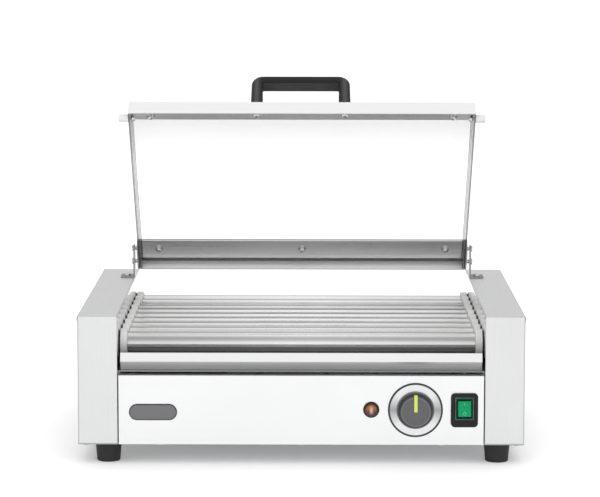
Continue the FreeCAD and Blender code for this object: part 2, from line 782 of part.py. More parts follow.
thermostat = node(new_body("thermostat"))
pad(thermostat, "capsule", "Y", [rect(dial[0] - 22, dial[1] - 20, dial[0] + 22, dial[1] + 20)],
    face + 4, face + 32)
pad(thermostat, "collar", "Y", [("circle", dial, 4.6)], face + 0.5, face + 4)
pad(thermostat, "spindle", "Y", [("circle", dial, cell("shaft_r"))], -knob_front + 6, face + 0.5)

housing = node(new_body("switch_body"))
frame_w = cell("switch_w") / 2
frame_h = cell("switch_h") / 2
pad(housing, "bezel", "Y",
    [rect(switch[0] - frame_w, switch[1] - frame_h, switch[0] + frame_w, switch[1] + frame_h)],
    face - cell("bezel_thick"), face)
round_edges(housing, "bezel_corners", 5, lambda e: straight(e) and abs(
    e.tangentAt(e.FirstParameter).y) > 0.999)
rocker_z = switch[1] + cell("rocker_lift")
lip_w = cell("lip_w") / 2
lip_h = cell("lip_h") / 2
lip_wall = cell("lip_wall")
pad(housing, "window_lip", "Y",
    [rect(switch[0] - lip_w, rocker_z - lip_h, switch[0] + lip_w, rocker_z + lip_h)],
    face - cell("bezel_thick") - cell("lip_thick"), face - cell("bezel_thick"))
round_edges(housing, "lip_corners", 2, lambda e: straight(e) and abs(
    e.tangentAt(e.FirstParameter).y) > 0.999 and e.Length < 1)
cut(housing, "lip_inside", "Y",
    [rect(switch[0] - lip_w + lip_wall, rocker_z - lip_h + lip_wall,
          switch[0] + lip_w - lip_wall, rocker_z + lip_h - lip_wall)],
    face - cell("bezel_thick") - cell("lip_thick") - 1, face - cell("bezel_thick"))
pad(housing, "barrel", "Y",
    [rect(switch[0] - 13.5, switch[1] - 17.7, switch[0] + 13.5, switch[1] + 17.7)],
    face, face + 26)
gap = cell("rocker_gap")
cut(housing, "rocker_well", "Y",
    [rect(switch[0] - cell("rocker_w") / 2 - gap, rocker_z - cell("rocker_h") / 2 - 0.9,
          switch[0] + cell("rocker_w") / 2 + gap, rocker_z + cell("rocker_h") / 2 + 0.9)],
    face - cell("bezel_thick") - 1, face + 9)
for side in (-1, 1):
    x0, x1 = (-12, -8) if side < 0 else (8, 12)
    pad(housing, "terminal_low" if side < 0 else "terminal_high", "Y",
        [rect(switch[0] - 3, switch[1] + x0 + 1.6, switch[0] + 3, switch[1] + x1 - 1.6)],
        face + 26, face + 34)

rocker = node(new_body("switch_rocker"))
rocker_half = cell("rocker_h") / 2
pad(rocker, "rocker_block", "X",
    [[(-4.6, -rocker_half + 0.1), (-3.1, 0), (-4.6, rocker_half - 0.1),
      (2.5, rocker_half - 0.6), (5, 0), (2.5, -rocker_half + 0.6)]],
    -cell("rocker_w") / 2, cell("rocker_w") / 2)
place(rocker, switch[0], face - 0.5, rocker_z, (1, 0, 0), -cell("rocker_tilt"))

lamp_body = node(new_body("indicator_body"))
lens_r = cell("lens_r")
turned(lamp_body, "lamp_profile",
       [(0, deep - 28), (6.4, deep - 28), (6.4, deep), (cell("lamp_r"), deep),
        (cell("lamp_r"), deep + 1.2), (cell("lamp_r") - 0.8, deep + 2), (lens_r + 0.1, deep + 2),
        (lens_r + 0.1, deep + 0.6), (0, deep + 0.6)])
place(lamp_body, lamp[0], 0, lamp[1], (1, 0, 0), 90)
lens = node(new_body("indicator_lens"))
turned(lens, "lens_profile",
       [(0, deep + 0.7), (lens_r, deep + 0.7), (lens_r, deep + 2.4), (lens_r - 1.4, deep + 4),
        (lens_r - 4, deep + 5), (0, deep + 5.5)])
place(lens, lamp[0], 0, lamp[1], (1, 0, 0), 90)

badge = node(new_body("badge_plate"))
badge_w = cell("badge_w") / 2
badge_h = cell("badge_h") / 2
pad(badge, "badge_blank", "Y",
    [rect(cell("badge_x") - badge_w, cell("badge_z") - badge_h,
          cell("badge_x") + badge_w, cell("badge_z") + badge_h)],
    face - 1.2, face - 0.05)
round_edges(badge, "badge_ends", badge_h - 0.05, lambda e: straight(e) and abs(
    e.tangentAt(e.FirstParameter).y) > 0.999)

cord_entry = node(new_body("cable_gland"))
turned(cord_entry, "gland_profile",
       [(4.2, -deep + 10), (8, -deep + 10), (8, -deep - 0.1), (11.5, -deep - 0.1),
        (11.5, -deep - 6), (9.6, -deep - 7), (9.6, -deep - 11), (7, -knob_front),
        (4.2, -knob_front)])
place(cord_entry, gland[0], 0, gland[1], (1, 0, 0), 90)

# ---------------------------------------------------------------- feet and screws
foot = new_body("foot_master")
turned(foot, "foot_profile",
       [(3, 4), (7, 4), (7, 0), (cell("foot_low_r") - 1, 0), (cell("foot_low_r"), 1),
        (cell("foot_top_r"), low - 1), (cell("foot_top_r") - 0.8, low), (3, low)])
foot_at = [(cell(FOOT_X[sx]).value * sx, cell("foot_y").value * sy, 0) for sx, sy in FOOT_XY]
group("rubber_feet", [(foot, p, UPRIGHT) for p in foot_at])
foot_screw = new_body("foot_screw_master")
turned(foot_screw, "foot_screw_profile",
       [(0, 1.5), (5, 1.5), (5, 4), (2.5, 4), (2.5, 32), (0, 32)])
group("foot_screws", [(foot_screw, p, UPRIGHT) for p in foot_at])

screw = new_body("screw_master")
head_r = cell("head_r")
turned(screw, "screw_profile",
       [(0, -8), (cell("screw_r"), -8), (cell("screw_r"), 0.05), (head_r, 0.05),
        (head_r, 1), (head_r - 1.2, cell("head_h")), (0, cell("head_h"))])
cut(screw, "cross_slot", "Z", [rect(-2, -0.4, 2, 0.4)], 1.2, 3)
bracket_mid = number("bracket_x") + number("bracket_foot") / 2 + 1.5
members = []
for side, turn in ((-1, TO_LEFT), (1, TO_RIGHT)):
    for y in (-SIDE_SCREW_Y, SIDE_SCREW_Y):
        members.append((screw, (case_half.value * side, y, SIDE_SCREW_Z), turn))
    for dy in (-BRACKET_SCREW_Y, BRACKET_SCREW_Y):
        members.append((screw, (bracket_mid * side, number("pivot_y") + dy,
                                top.value + number("bracket_t")), UPRIGHT))
for x in BASE_SCREW_X:
    for sy in (-1, 1):
        members.append((screw, (x, sy * SCREW_Y, low.value + 0.2), UPSIDE_DOWN))
group("casing_screws", members)

# ---------------------------------------------------------------- hinge
pivot_y = cell("pivot_y")
pivot_z = top + cell("pivot_up")
bracket_x = cell("bracket_x")
bracket_t = cell("bracket_t")
bracket_half = cell("bracket_half")
for word, side in SIDES:
    bracket = node(new_body("hinge_bracket_" + word))
    x0, x1 = (-bracket_x - bracket_t, -bracket_x) if side < 0 else (bracket_x, bracket_x + bracket_t)
    f0 = -bracket_x - cell("bracket_foot") - 2 if side < 0 else bracket_x
    f1 = -bracket_x if side < 0 else bracket_x + cell("bracket_foot") + 2
    pad(bracket, "upright_" + word, "X",
        [rect(pivot_y - bracket_half, top + 0.05, pivot_y + bracket_half, top + cell("bracket_h"))],
        x0, x1)
    pad(bracket, "foot_fold_" + word, "Y", [rect(f0, top + 0.05, f1, top + bracket_t)],
        pivot_y - bracket_half - 3, pivot_y + bracket_half + 3)
    round_edges(bracket, "bracket_corners_" + word, 5, lambda e: straight(e)
                and along_x(e) and abs(e.CenterOfMass.z - top.value - number("bracket_h")) < 0.01)
    cut(bracket, "pin_holes_" + word, "X",
        [("circle", (pivot_y, pivot_z), cell("pin_r") + 0.05),
         ("circle", (pivot_y, pivot_z + cell("stop_up")), cell("pin_r") + 0.05)],
        x0 - 1, x1 + 1)
    middle = (bracket_x + cell("bracket_foot") / 2 + 1.5) * side
    cut(bracket, "foot_holes_" + word, "Z",
        [("circle", (middle, pivot_y + dy), cell("screw_hole_r"))
         for dy in (-BRACKET_SCREW_Y, BRACKET_SCREW_Y)],
        top - 1, top + bracket_t + 1)

hinge_pin = new_body("pin_master")
pin_r = cell("pin_r")
outer_face = bracket_x + bracket_t
turned(hinge_pin, "pin_profile",
       [(0, 205.6), (pin_r, 205.6), (pin_r, outer_face + 0.05), (4.2, outer_face + 0.05),
        (4.2, outer_face + 1.2), (2.8, outer_face + 2.2), (0, outer_face + 2.2)])
group("hinge_pins",
      [(hinge_pin, (0, pivot_y.value, pivot_z.value + rise), turn)
       for turn in (TO_LEFT, TO_RIGHT) for rise in (0, number("stop_up"))])

# ---------------------------------------------------------------- lid
# The lid is drawn closed about its hinge axis (front towards -Y) and then turned up
# to its resting angle.
lid_half = cell("lid_half")
drop = cell("lid_drop")
rear_y = -cell("fold_ahead")
front_y = rear_y - cell("lid_len")
pane_low = -sheet - cell("pane_t")
front_hole_y = front_y + cell("front_hole")
rear_hole_y = rear_y - cell("rear_hole")
hole_x = cell("lid_hole_x")
grip_mid = cell("grip_mid")
grip_left = grip_mid - cell("grip_hole_x")
grip_right = grip_mid + cell("grip_hole_x")
hole_r = cell("screw_hole_r")
front_holes = [("circle", (x, front_hole_y), hole_r) for x in (-hole_x, hole_x, grip_left, grip_right)]
rear_holes = [("circle", (x, rear_hole_y), hole_r) for x in (-hole_x, 0, hole_x)]


def hang(item):
    """Put a lid piece on the hinge axis at its resting angle."""
    place(item, 0, pivot_y, pivot_z, (1, 0, 0), -cell("open_angle"))


pane = node(new_body("lid_pane"))
pad(pane, "pane_channel", "Y",
    [[(-lid_half, -drop), (-lid_half, -sheet), (lid_half, -sheet), (lid_half, -drop),
      (lid_half - cell("pane_t"), -drop), (lid_half - cell("pane_t"), pane_low),
      (-lid_half + cell("pane_t"), pane_low), (-lid_half + cell("pane_t"), -drop)]],
    front_y + sheet + 0.2, rear_y - sheet - 0.2)
round_edges(pane, "pane_bends", 4.5, lambda e: straight(e) and abs(
    abs(e.CenterOfMass.x) - lid_half.value) < 0.01 and abs(e.CenterOfMass.z + sheet.value) < 0.01)
cut(pane, "pane_holes", "Z", front_holes + rear_holes, -10, 1)
bumper_y = front_y + cell("bumper_back")
bumper_z = -cell("bumper_down")
cut(pane, "bumper_holes", "X", [("circle", (bumper_y, bumper_z), hole_r)],
    -lid_half - 1, lid_half + 1)
hang(pane)

front_rail = node(new_body("lid_front_rail"))
pad(front_rail, "front_angle", "X",
    [[(front_y, 0), (front_y + cell("front_strip"), 0), (front_y + cell("front_strip"), -sheet),
      (front_y + sheet, -sheet), (front_y + sheet, -drop), (front_y, -drop)]],
    -lid_half, lid_half)
cut(front_rail, "front_rail_holes", "Z", front_holes, -3, 1)
hang(front_rail)

rear_rail = node(new_body("lid_rear_rail"))
ear_in = lid_half + cell("ear_gap")
ear_out = ear_in + cell("ear_t")
pad(rear_rail, "rear_angle", "X",
    [[(rear_y, 0), (rear_y, -drop), (rear_y - sheet, -drop), (rear_y - sheet, -sheet),
      (rear_y - cell("rear_strip"), -sheet), (rear_y - cell("rear_strip"), 0)]],
    -ear_out, ear_out)
lug_top = cell("stop_up") * math.cos(math.radians(number("open_angle"))) - pin_r - seam
lug_mid = cell("stop_up") * math.sin(math.radians(number("open_angle")))
for word, side in SIDES:
    x0, x1 = (-ear_out, -ear_in) if side < 0 else (ear_in, ear_out)
    pad(rear_rail, "ear_" + word, "X",
        [[(7, 5), (7, -6), (3, -8), (rear_y - 1, -drop), (rear_y - cell("rear_strip"), -drop),
          (rear_y - cell("rear_strip"), 0), (-lug_mid - 8, 0), (-lug_mid - 5, lug_top),
          (-lug_mid + 4, lug_top), (-2, 7)]],
        x0, x1)
    cut(rear_rail, "ear_hole_" + word, "X", [("circle", (0, 0), pin_r + cell("run_fit"))],
        x0 - 1, x1 + 1)
cut(rear_rail, "rear_rail_holes", "Z", rear_holes, -3, 1)
hang(rear_rail)

strip_half = lid_half - cell("pane_t") - 0.5
front_clamp = new_body("front_clamp_master")
pad(front_clamp, "front_clamp_strip", "Z",
    [rect(-strip_half, front_y + sheet + 0.2, strip_half, front_y + cell("front_strip"))],
    pane_low - sheet, pane_low)
cut(front_clamp, "front_clamp_holes", "Z", front_holes, pane_low - 3, pane_low + 1)
rear_clamp = new_body("rear_clamp_master")
pad(rear_clamp, "rear_clamp_strip", "Z",
    [rect(-strip_half, rear_y - cell("rear_clamp"), strip_half, rear_y - 9)],
    pane_low - sheet, pane_low)
cut(rear_clamp, "rear_clamp_holes", "Z", rear_holes, pane_low - 3, pane_low + 1)
PIVOT = (0, pivot_y.value, pivot_z.value)
LID_TURN = FreeCAD.Rotation(FreeCAD.Vector(1, 0, 0), -number("open_angle"))
group("lid_clamp_strips", [(front_clamp, PIVOT, LID_TURN), (rear_clamp, PIVOT, LID_TURN)])

grip = node(new_body("lid_handle"))
grip_half = cell("grip_half")
grip_h = cell("grip_h")
grip_leg = cell("grip_leg")
half_w = cell("grip_w") / 2
pad(grip, "bridge", "Y",
    [[(grip_mid - grip_half, 0.05), (grip_mid - grip_half + 0.8, grip_h),
      (grip_mid + grip_half - 0.8, grip_h), (grip_mid + grip_half, 0.05),
      (grip_mid + grip_half - grip_leg, 0.05),
      (grip_mid + grip_half - grip_leg + 0.8, grip_h - cell("grip_bar")),
      (grip_mid - grip_half + grip_leg - 0.8, grip_h - cell("grip_bar")),
      (grip_mid - grip_half + grip_leg, 0.05)]],
    front_hole_y - half_w, front_hole_y + half_w)
round_edges(grip, "grip_shoulders", cell("grip_r"), lambda e: straight(e) and abs(
    e.CenterOfMass.z - grip_h.value) < 0.01 and abs(e.tangentAt(e.FirstParameter).y) > 0.999)
round_edges(grip, "grip_inner", 2.5, lambda e: straight(e) and abs(
    e.CenterOfMass.z - grip_h.value + number("grip_bar")) < 0.01
    and abs(e.tangentAt(e.FirstParameter).y) > 0.999)
round_edges(grip, "grip_softening", cell("grip_soft"), lambda e: abs(
    abs(e.CenterOfMass.y - front_hole_y.value) - half_w.value) < 0.01
    and e.BoundBox.ZMin > 0.02 and e.BoundBox.YLength < 0.01 or straight(e) and abs(
    abs(e.CenterOfMass.y - front_hole_y.value) - half_w.value) < 0.01
    and e.BoundBox.ZLength > 5)
cut(grip, "grip_holes", "Z", [("circle", (x, front_hole_y), 2.05) for x in (grip_left, grip_right)],
    -1, 18)
hang(grip)

bumper = new_body("bumper_master")
turned(bumper, "bumper_profile",
       [(0, lid_half + 0.1), (cell("bumper_r"), lid_half + 0.1),
        (cell("bumper_r"), lid_half + cell("bumper_len") - 0.8),
        (cell("bumper_r") - 0.8, lid_half + cell("bumper_len")),
        (0, lid_half + cell("bumper_len"))])
axis_point = LID_TURN.multVec(FreeCAD.Vector(0, bumper_y.value, bumper_z.value))
bumper_at = tuple(axis_point + FreeCAD.Vector(*PIVOT))
group("lid_bumpers", [(bumper, bumper_at, LID_TURN.multiply(turn)) for turn in (TO_LEFT, TO_RIGHT)])

# Through screws of the rails: pan head outside, washer and domed nut inside.
bolt = new_body("bolt_master")
nut_top = pane_low - sheet - 0.05
turned(bolt, "bolt_profile",
       [(0, 2.2), (head_r - 1.2, 2.2), (head_r, 1.2), (head_r, 0.05), (cell("screw_r"), 0.05),
        (cell("screw_r"), nut_top), (5, nut_top), (5, nut_top - 1), (3.8, nut_top - 1),
        (3.8, nut_top - 3.4), (2.9, nut_top - 4.8), (0, nut_top - 5.6)])
grip_screw = new_body("grip_screw_master")
turned(grip_screw, "grip_screw_profile",
       [(0, 15), (cell("screw_r"), 15), (cell("screw_r"), nut_top), (head_r, nut_top),
        (head_r, nut_top - 1.2), (head_r - 1.2, nut_top - 2.2), (0, nut_top - 2.2)])
peg_nut = new_body("peg_nut_master")
inside = lid_half - cell("pane_t")
turned(peg_nut, "peg_nut_profile",
       [(0, lid_half), (cell("screw_r"), lid_half), (cell("screw_r"), inside - 0.05),
        (3.8, inside - 0.05), (3.8, inside - 2.8), (2.4, inside - 4.2), (0, inside - 4.8)])


def on_lid(x, y, z):
    """Resting position of a point given on the closed lid."""
    return tuple(LID_TURN.multVec(FreeCAD.Vector(x, y, z)) + FreeCAD.Vector(*PIVOT))


members = []
for x, y in ((-hole_x.value, front_hole_y.value), (hole_x.value, front_hole_y.value),
             (-hole_x.value, rear_hole_y.value), (0, rear_hole_y.value),
             (hole_x.value, rear_hole_y.value)):
    members.append((bolt, on_lid(x, y, 0), LID_TURN))
for x in (grip_left.value, grip_right.value):
    members.append((grip_screw, on_lid(x, front_hole_y.value, 0), LID_TURN))
for turn in (TO_LEFT, TO_RIGHT):
    members.append((peg_nut, bumper_at, LID_TURN.multiply(turn)))
group("lid_screws", members)

# ---------------------------------------------------------------- checks and export
doc.recompute()
for item in doc.Objects:
    if "Invalid" in item.State or "Error" in item.State:
        raise RuntimeError("object not valid: " + item.Label)
os.makedirs("parts", exist_ok=True)
for item in NODES:
    shape = item.Shape
    if shape.isNull() or not shape.isValid() or not shape.Solids:
        raise RuntimeError("bad shape: " + item.Label)
    shape.exportStep(os.path.join("parts", item.Label + ".step"))
print("nodes", len(NODES))
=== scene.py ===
import math

import bmesh
import bpy
from mathutils import Matrix, Vector


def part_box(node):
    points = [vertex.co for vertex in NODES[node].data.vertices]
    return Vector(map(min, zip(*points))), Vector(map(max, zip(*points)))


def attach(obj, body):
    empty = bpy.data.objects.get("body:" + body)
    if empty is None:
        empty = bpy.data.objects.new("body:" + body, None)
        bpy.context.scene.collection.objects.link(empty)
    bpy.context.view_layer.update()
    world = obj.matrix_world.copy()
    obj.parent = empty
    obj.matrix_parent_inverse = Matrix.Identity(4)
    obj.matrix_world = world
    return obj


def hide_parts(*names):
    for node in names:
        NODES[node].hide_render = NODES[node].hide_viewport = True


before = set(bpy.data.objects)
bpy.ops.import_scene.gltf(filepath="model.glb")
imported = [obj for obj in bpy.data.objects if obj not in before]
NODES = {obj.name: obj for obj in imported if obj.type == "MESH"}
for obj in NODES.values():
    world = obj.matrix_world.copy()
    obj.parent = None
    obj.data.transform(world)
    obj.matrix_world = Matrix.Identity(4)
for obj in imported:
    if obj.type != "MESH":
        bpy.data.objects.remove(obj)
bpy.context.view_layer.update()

MM = 0.001


# ------------------------------------------------------------------ shader helpers
def new_material(name):
    """New material with its node tree and principled shader."""
    mat = bpy.data.materials.new(name)
    mat.use_nodes = True
    tree = mat.node_tree
    return mat, tree, tree.nodes["Principled BSDF"]


def add(tree, kind, **settings):
    """New node with its properties set."""
    item = tree.nodes.new(kind)
    for key, value in settings.items():
        setattr(item, key, value)
    return item


def feed(tree, socket, value):
    """Give a socket a plain number, a plain colour or another node's output."""
    if isinstance(value, tuple):
        socket.default_value = (*value, 1)
    elif isinstance(value, (int, float)):
        socket.default_value = value
    else:
        tree.links.new(value, socket)


def grey(level):
    """Neutral colour."""
    return (level, level, level)


def tint(colour, factor):
    """Colour times a factor, kept under 1."""
    return tuple(min(part * factor, 1.0) for part in colour)


def axes(tree, kind="Object"):
    """X, Y and Z of a coordinate: the place on the object, unless another kind is named."""
    coords = add(tree, "ShaderNodeTexCoord")
    split = add(tree, "ShaderNodeSeparateXYZ")
    tree.links.new(coords.outputs[kind], split.inputs[0])
    return split.outputs


def math_node(tree, operation, first, second=None):
    """Math on sockets or plain numbers."""
    item = add(tree, "ShaderNodeMath", operation=operation)
    feed(tree, item.inputs[0], first)
    if second is not None:
        feed(tree, item.inputs[1], second)
    return item.outputs[0]


def spread(tree, value, low, high, source=(0.3, 0.7)):
    """Map a value from one range to another, held at its ends."""
    item = add(tree, "ShaderNodeMapRange")
    item.inputs["From Min"].default_value = source[0]
    item.inputs["From Max"].default_value = source[1]
    item.inputs["To Min"].default_value = low
    item.inputs["To Max"].default_value = high
    tree.links.new(value, item.inputs["Value"])
    return item.outputs["Result"]


def off_middle(tree, value, middle_value=0.0):
    """Distance of a coordinate from a middle, either way."""
    return math_node(tree, "ABSOLUTE", math_node(tree, "SUBTRACT", value, middle_value))


def noise(tree, vector, scale, detail, rough=0.55):
    """Noise texture value."""
    item = add(tree, "ShaderNodeTexNoise")
    item.inputs["Scale"].default_value = scale
    item.inputs["Detail"].default_value = detail
    item.inputs["Roughness"].default_value = rough
    tree.links.new(vector, item.inputs["Vector"])
    return item.outputs["Fac"]


def speckle(tree, scale, detail):
    """Noise that is alike in every direction."""
    coords = add(tree, "ShaderNodeTexCoord")
    return noise(tree, coords.outputs["Object"], scale, detail)


def streaks(tree, grain, detail=4, rough=0.6):
    """Noise with a scale for each axis; it runs in lines along the axis of the smallest."""
    coords = add(tree, "ShaderNodeTexCoord")
    mapping = add(tree, "ShaderNodeMapping")
    mapping.inputs["Scale"].default_value = grain
    tree.links.new(coords.outputs["Object"], mapping.inputs["Vector"])
    return noise(tree, mapping.outputs["Vector"], 1.0, detail, rough)


def shades(tree, value, dark, light):
    """Colour between two shades."""
    item = add(tree, "ShaderNodeValToRGB")
    item.color_ramp.elements[0].position = 0.25
    item.color_ramp.elements[0].color = (*dark, 1)
    item.color_ramp.elements[1].position = 0.75
    item.color_ramp.elements[1].color = (*light, 1)
    tree.links.new(value, item.inputs["Fac"])
    return item.outputs["Color"]


def bands(tree, value, stops, hue=(1, 1, 1)):
    """Levels of a hue at places along a value that runs from 0 to 1."""
    item = add(tree, "ShaderNodeValToRGB")
    elements = item.color_ramp.elements
    while len(elements) < len(stops):
        elements.new(0.5)
    for element, (position, level) in zip(elements, stops):
        element.position = position
        element.color = (*(level * part for part in hue), 1)
    tree.links.new(value, item.inputs["Fac"])
    return item.outputs["Color"]


def colour_mix(tree, factor, first, second, how="MIX"):
    """Second colour over the first, by a factor; each is an output or a plain value."""
    item = add(tree, "ShaderNodeMix", data_type="RGBA", blend_type=how)
    feed(tree, item.inputs["Factor"], factor)
    feed(tree, item.inputs["A"], first)
    feed(tree, item.inputs["B"], second)
    return item.outputs["Result"]


def darkened(tree, factor, colour, level):
    """Colour multiplied by a grey where the factor is 1."""
    return colour_mix(tree, factor, colour, grey(level), "MULTIPLY")


def grazing(tree, blend):
    """0 where the surface faces the eye, towards 1 where it turns away."""
    item = add(tree, "ShaderNodeLayerWeight")
    item.inputs["Blend"].default_value = blend
    return item.outputs["Facing"]


def bump(tree, shader, value, strength, distance):
    """Bump from a value, chained onto any bump already there; its distance is in mm."""
    item = add(tree, "ShaderNodeBump")
    item.inputs["Strength"].default_value = strength
    item.inputs["Distance"].default_value = distance * MM
    tree.links.new(value, item.inputs["Height"])
    if shader.inputs["Normal"].is_linked:
        tree.links.new(shader.inputs["Normal"].links[0].from_socket, item.inputs["Normal"])
    tree.links.new(item.outputs["Normal"], shader.inputs["Normal"])


def rounded(tree, shader, radius):
    """Soft shading over sharp edges, radius in mm; returns a mask that is 1 on the edges."""
    bevel = add(tree, "ShaderNodeBevel", samples=6)
    bevel.inputs["Radius"].default_value = radius * MM
    tree.links.new(bevel.outputs["Normal"], shader.inputs["Normal"])
    geometry = add(tree, "ShaderNodeNewGeometry")
    facing = add(tree, "ShaderNodeVectorMath", operation="DOT_PRODUCT")
    tree.links.new(bevel.outputs["Normal"], facing.inputs[0])
    tree.links.new(geometry.outputs["Normal"], facing.inputs[1])
    return spread(tree, facing.outputs["Value"], 1, 0, (0.90, 0.998))


def edge_wear_or_highlight(tree, colour, edge_colour, mask, amount):
    """Mix in a colour along the edges, broken up by noise: rubbed wear, or a painted edge highlight where
    that colour is paler than the surface.
    """
    patch = spread(tree, speckle(tree, 160, 3), 0, amount)
    return colour_mix(tree, math_node(tree, "MULTIPLY", mask, patch), colour, edge_colour)


def surface(tree, shader, colour, rough, metal=0.0):
    """Colour, roughness and metal of a shader."""
    feed(tree, shader.inputs["Base Color"], colour)
    feed(tree, shader.inputs["Roughness"], rough)
    feed(tree, shader.inputs["Metallic"], metal)


def middle(name):
    """Centre of a node's box."""
    low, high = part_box(name)
    return (Vector(low) + Vector(high)) / 2


def polar(tree, centre):
    """Radius in metres and angle from the top in radians, round an axis along Y."""
    here = axes(tree)
    dx = math_node(tree, "SUBTRACT", here["X"], centre.x)
    dz = math_node(tree, "SUBTRACT", here["Z"], centre.z)
    squared = math_node(tree, "ADD", math_node(tree, "MULTIPLY", dx, dx),
                        math_node(tree, "MULTIPLY", dz, dz))
    return math_node(tree, "SQRT", squared), math_node(tree, "ARCTAN2", dx, dz)


def turned_lines(tree, radius, angle, rings, arcs):
    """Lines that run round an axis: many along the radius, few along the angle."""
    join = add(tree, "ShaderNodeCombineXYZ")
    tree.links.new(math_node(tree, "MULTIPLY", radius, rings), join.inputs[0])
    tree.links.new(math_node(tree, "MULTIPLY", angle, arcs), join.inputs[1])
    return noise(tree, join.outputs[0], 1.0, 3, 0.6)


# ------------------------------------------------------------------ materials
def steel(name, colour, rough, grain, depth, contrast, edge=0.5):
    """Sheet steel: brushed along one axis or even, with faint clouding and smudges."""
    mat, tree, shader = new_material(name)
    mask = rounded(tree, shader, edge)
    lines = streaks(tree, grain)
    tone = math_node(tree, "ADD", lines, spread(tree, speckle(tree, 9.0, 2), -0.12, 0.12))
    base = shades(tree, tone, tint(colour, 1 - contrast), tint(colour, 1 + contrast))
    total = math_node(tree, "ADD", spread(tree, lines, rough - 0.05, rough + 0.06),
                      spread(tree, speckle(tree, 38.0, 3), -0.015, 0.03))
    surface(tree, shader, edge_wear_or_highlight(tree, base, tint(colour, 0.85), mask, 0.5), total, 1.0)
    bump(tree, shader, lines, depth, 0.06)
    return mat


def plastic(name, colour, rough, pits=0.15, pit_scale=1400, spec=0.5, light=1.5, edge=0.6):
    """Moulded plastic or rubber with a fine texture, dust and rubbed edges; on the black plastic the pale
    edges are a painted edge highlight.
    """
    mat, tree, shader = new_material(name)
    mask = rounded(tree, shader, edge)
    dust = speckle(tree, 60, 4)
    base = shades(tree, dust, tint(colour, 0.93), tint(colour, 1.07))
    # Edge colour: slightly paler wear on most plastics; on the black plastic, many times paler, it is a
    # painted edge highlight.
    rub_or_edge_highlight = tuple(min(part * light + 0.01, 1) for part in colour)
    surface(tree, shader, edge_wear_or_highlight(tree, base, rub_or_edge_highlight, mask, 0.8),
            spread(tree, dust, rough - 0.04, rough + 0.07))
    shader.inputs["Specular IOR Level"].default_value = spec
    bump(tree, shader, speckle(tree, pit_scale, 2), pits, 0.1)
    return mat


def tube_material():
    """Ground roller tube: fine turned lines, painted shade towards its ends so that it is paler along its
    middle, and a painted shade line where it turns away.
    """
    mat, tree, shader = new_material("roller_steel")
    rounded(tree, shader, 0.3)
    lines = streaks(tree, (400, 12, 12), 2, 0.5)
    stain = streaks(tree, (5, 18, 18), 2, 0.55)
    # Painted shade: darker from the middle of the tube towards both ends.
    pale_to, dark_from = 20 * MM, 210 * MM
    ends = spread(tree, off_middle(tree, axes(tree)["X"]), 0.62, 0.25, (pale_to, dark_from))
    tone = math_node(tree, "ADD", ends, math_node(tree, "MULTIPLY", stain, 0.25))
    # Painted shade along the top edge of each tube, where it turns away from the eye.
    away = spread(tree, grazing(tree, 0.5), 0, 0.25, (0.52, 0.85))
    metal = shades(tree, tone, (0.62, 0.615, 0.61), grey(0.88))
    surface(tree, shader, darkened(tree, away, metal, 0.3), spread(tree, lines, 0.22, 0.27), 1.0)
    feed(tree, shader.inputs["Specular Tint"], grey(0.52))
    bump(tree, shader, lines, 0.02, 0.02)
    return mat


def casing_material():
    """Brushed side housing with a shaded line along its bottom edge and outer corners."""
    mat, tree, shader = new_material("casing_steel")
    mask = rounded(tree, shader, 1.3)
    lines = streaks(tree, (900, 900, 3))
    tone = math_node(tree, "ADD", lines, spread(tree, speckle(tree, 9.0, 2), -0.12, 0.12))
    base = shades(tree, tone, (0.69, 0.692, 0.696), (0.73, 0.733, 0.737))
    here, normal = axes(tree), axes(tree, "Normal")
    low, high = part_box("side_casing_right")
    hem = spread(tree, here["Z"], 1, 0, (low.z + 0.8 * MM, low.z + 2.2 * MM))
    corner = spread(tree, off_middle(tree, here["X"]), 0, 1, (high.x - 1.6 * MM, high.x - 0.6 * MM))
    # The outer wall itself stays bright: only what is turned away from it is shaded.
    turned = spread(tree, off_middle(tree, normal["X"]), 1, 0, (0.80, 0.95))
    edge = math_node(tree, "MAXIMUM", hem, math_node(tree, "MULTIPLY", corner, turned))
    rubbed = edge_wear_or_highlight(tree, base, (0.60, 0.60, 0.61), mask, 0.5)
    surface(tree, shader, darkened(tree, edge, rubbed, 0.52), spread(tree, lines, 0.25, 0.36), 1.0)
    bump(tree, shader, lines, 0.10, 0.06)
    return mat


def tray_material():
    """Bright front lip, painted shade on the face folded in under it, stains inside."""
    mat, tree, shader = new_material("tray_steel")
    mask = rounded(tree, shader, 0.4)
    lines = streaks(tree, (3, 900, 900))
    bright = shades(tree, lines, (0.93, 0.93, 0.935), grey(0.97))
    # Painted shade: the face under the fold gets a darker copy of the same steel, not a duller finish.
    painted_shade_steel = shades(tree, lines, (0.60, 0.60, 0.605), (0.67, 0.67, 0.675))
    stained = shades(tree, speckle(tree, 30, 4), (0.50, 0.495, 0.49), (0.64, 0.635, 0.63))
    here = axes(tree)
    low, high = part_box("drip_tray")
    fold_part, lean_up, lean_down = 0.57, 0.24, -0.807
    fold = low.z + (high.z - low.z) * fold_part
    under = spread(tree, here["Z"], 1, 0, (fold - 0.6 * MM, fold + 0.4 * MM))
    outside = colour_mix(tree, under, bright, painted_shade_steel)
    # The front wall leans in both ways from its fold; anything behind it is the inside.
    above = math_node(tree, "SUBTRACT", here["Z"], fold)
    lean = math_node(tree, "MAXIMUM", math_node(tree, "MULTIPLY", above, lean_up),
                     math_node(tree, "MULTIPLY", above, lean_down))
    depth = math_node(tree, "SUBTRACT", here["Y"], lean)
    behind = spread(tree, depth, 0, 1, (low.y + 0.5 * MM, low.y + 0.8 * MM))
    whole = colour_mix(tree, behind, outside, stained)
    # The bottom edge lies in its own shade.
    hem = spread(tree, here["Z"], 0.75, 0, (low.z + 1.0 * MM, low.z + 2.6 * MM))
    colour = colour_mix(tree, hem, edge_wear_or_highlight(tree, whole, grey(0.5), mask, 0.3), grey(0.12))
    surface(tree, shader, colour, spread(tree, lines, 0.26, 0.34), 1.0)
    bump(tree, shader, lines, 0.08, 0.05)
    return mat


